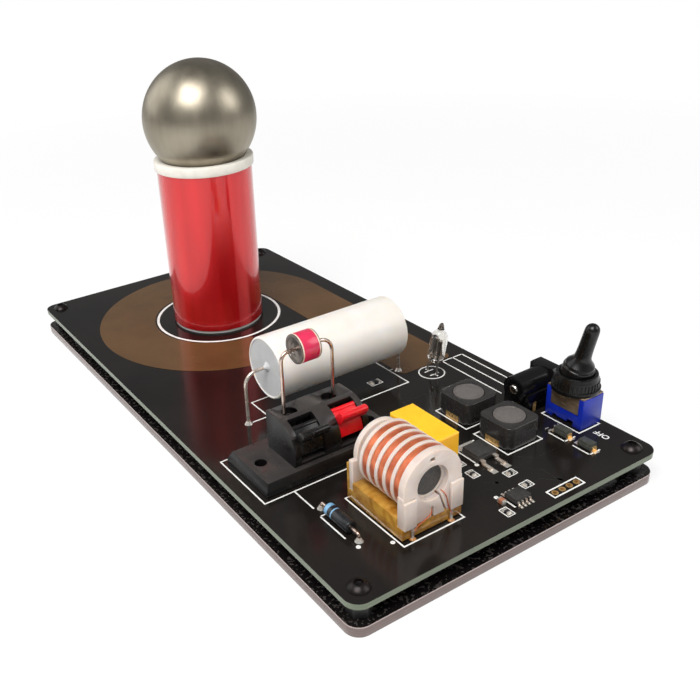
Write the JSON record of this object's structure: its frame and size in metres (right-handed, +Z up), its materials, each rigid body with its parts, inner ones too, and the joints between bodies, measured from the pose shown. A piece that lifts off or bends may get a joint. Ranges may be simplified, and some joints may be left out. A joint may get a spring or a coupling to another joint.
{
  "type": "desktop resonant transformer",
  "caption": "Circuit board on a clear plate with an upright red secondary coil under a metal ball, a flat primary loop, tank capacitor, spark gap in a spring terminal, and low-voltage driver.",
  "frame": {"origin": "middle of the base plate's underside, on the surface it stands on", "axes": "+X along the board from the coil's end to the switch's end; +Y across the board to the edge with the power jack; +Z up, along the coil's axis"},
  "size_m": [0.2, 0.1016, 0.1007],
  "materials": {
    "clear_plate": "tinted clear acrylic, polished faces and sawn edges",
    "black_steel": "black oxide steel",
    "black_plastic": "satin black",
    "board": "glossy black solder mask over glass-fibre laminate",
    "masked_copper": "copper under clear-black mask, brown",
    "pale_plastic": "pale grey tube",
    "red_winding": "red enamelled wire under clear varnish, glossy",
    "white_plastic": "off-white, satin",
    "ball_steel": "satin polished stainless steel",
    "white_film": "off-white film wrap, satin",
    "end_fill": "light grey potting resin",
    "tinned_wire": "tinned copper, bright",
    "dark_grey_plastic": "moulded dark grey, fine matt",
    "spring_steel": "plated spring steel",
    "black_lever_plastic": "moulded dark grey, satin",
    "red_plastic": "moulded red, satin",
    "pink_ceramic": "glazed pink-red",
    "nickel": "pressed and plated steel",
    "milky_nylon": "milky white nylon, slightly see-through",
    "copper_wire": "fine enamelled copper wire",
    "ferrite": "dark grey ferrite",
    "amber_resin": "amber cast resin, glossy",
    "tinned_pins": "tinned",
    "yellow_plastic": "yellow-orange moulded case",
    "dark_ferrite": "dark grey pressed ferrite",
    "grey_ferrite": "grey pressed ferrite",
    "gold_plate": "gold-toned plating",
    "clear_glass": "clear blown glass",
    "nickel_wire": "nickel wire",
    "plated_brass": "nickel-plated brass",
    "blue_plastic": "moulded blue, satin",
    "dark_nickel": "dull nickel with a warm tint",
    "black_rubber": "black rubber, fine matt",
    "black_epoxy": "moulded epoxy, fine matt",
    "black_glaze": "black glaze",
    "tan_ceramic": "tan ceramic",
    "solder": "bright solder"
  },
  "bodies": {
    "board": {"base_plate": "clear_plate", "base_screws": "black_steel", "standoffs": "black_plastic", "board_screws": "black_steel", "circuit_board": "board", "primary_loop": "masked_copper", "coil_former": "pale_plastic", "secondary_winding": "red_winding", "top_collar": "white_plastic", "discharge_ball": "ball_steel", "tank_capacitor_wrap": "white_film", "tank_capacitor_core": "end_fill", "tank_capacitor_leads": "tinned_wire", "terminal_block": "dark_grey_plastic", "terminal_springs": "spring_steel", "coil_bobbin": "milky_nylon", "coil_windings": "copper_wire", "coil_core": "ferrite", "coil_resin": "amber_resin", "coil_pins": "tinned_pins", "box_capacitor": "yellow_plastic", "box_capacitor_pins": "tinned_pins", "inductor_shells": "dark_ferrite", "inductor_tops": "grey_ferrite", "inductor_terminals": "gold_plate", "neon_glass": "clear_glass", "neon_electrodes": "nickel_wire", "jack_housing": "black_plastic", "jack_pin": "plated_brass", "jack_contacts": "gold_plate", "switch_body": "blue_plastic", "switch_bracket": "dark_nickel", "switch_bushing": "nickel", "switch_pins": "tinned_pins", "boot_skirt": "black_rubber", "transistor_body": "black_epoxy", "transistor_legs": "tinned_pins", "driver_chip": "black_epoxy", "driver_chip_legs": "tinned_pins", "surface_diodes": "black_epoxy", "surface_diode_ends": "gold_plate", "high_voltage_diode": "black_epoxy", "high_voltage_diode_leads": "tinned_wire", "chip_resistors": "black_glaze", "chip_ends": "tinned_pins", "tan_capacitor": "tan_ceramic", "header_sleeves": "gold_plate", "solder_joints": "solder"},
    "black_lever": {"black_lever": "black_lever_plastic"},
    "red_lever": {"red_lever": "red_plastic"},
    "spark_gap": {"spark_gap_tube": "pink_ceramic", "spark_gap_caps": "nickel", "spark_gap_leads": "tinned_wire"},
    "toggle": {"boot_sleeve": "black_rubber", "toggle_lever": "plated_brass"}
  },
  "joints": [
    {"name": "toggle_throw", "type": "hinge", "parent": "board", "child": "toggle", "pos_m": [0.0752, 0.045, 0.0239], "axis": [0, 1, 0], "range_deg": [-27, 0]},
    {"name": "black_lever_press", "type": "hinge", "parent": "board", "child": "black_lever", "pos_m": [0.0462, -0.0286, 0.0164], "axis": [0, 1, 0], "range_deg": [0, 14], "stiffness_Nm_per_rad": 0.05, "springref_deg": -5.73},
    {"name": "red_lever_press", "type": "hinge", "parent": "board", "child": "red_lever", "pos_m": [0.0462, -0.0159, 0.0164], "axis": [0, 1, 0], "range_deg": [0, 19], "stiffness_Nm_per_rad": 0.05, "springref_deg": -5.73},
    {"name": "spark_gap_pull", "type": "slide", "parent": "board", "child": "spark_gap", "axis": [0, 0, 1], "range_m": [0, 0.009]}
  ]
}
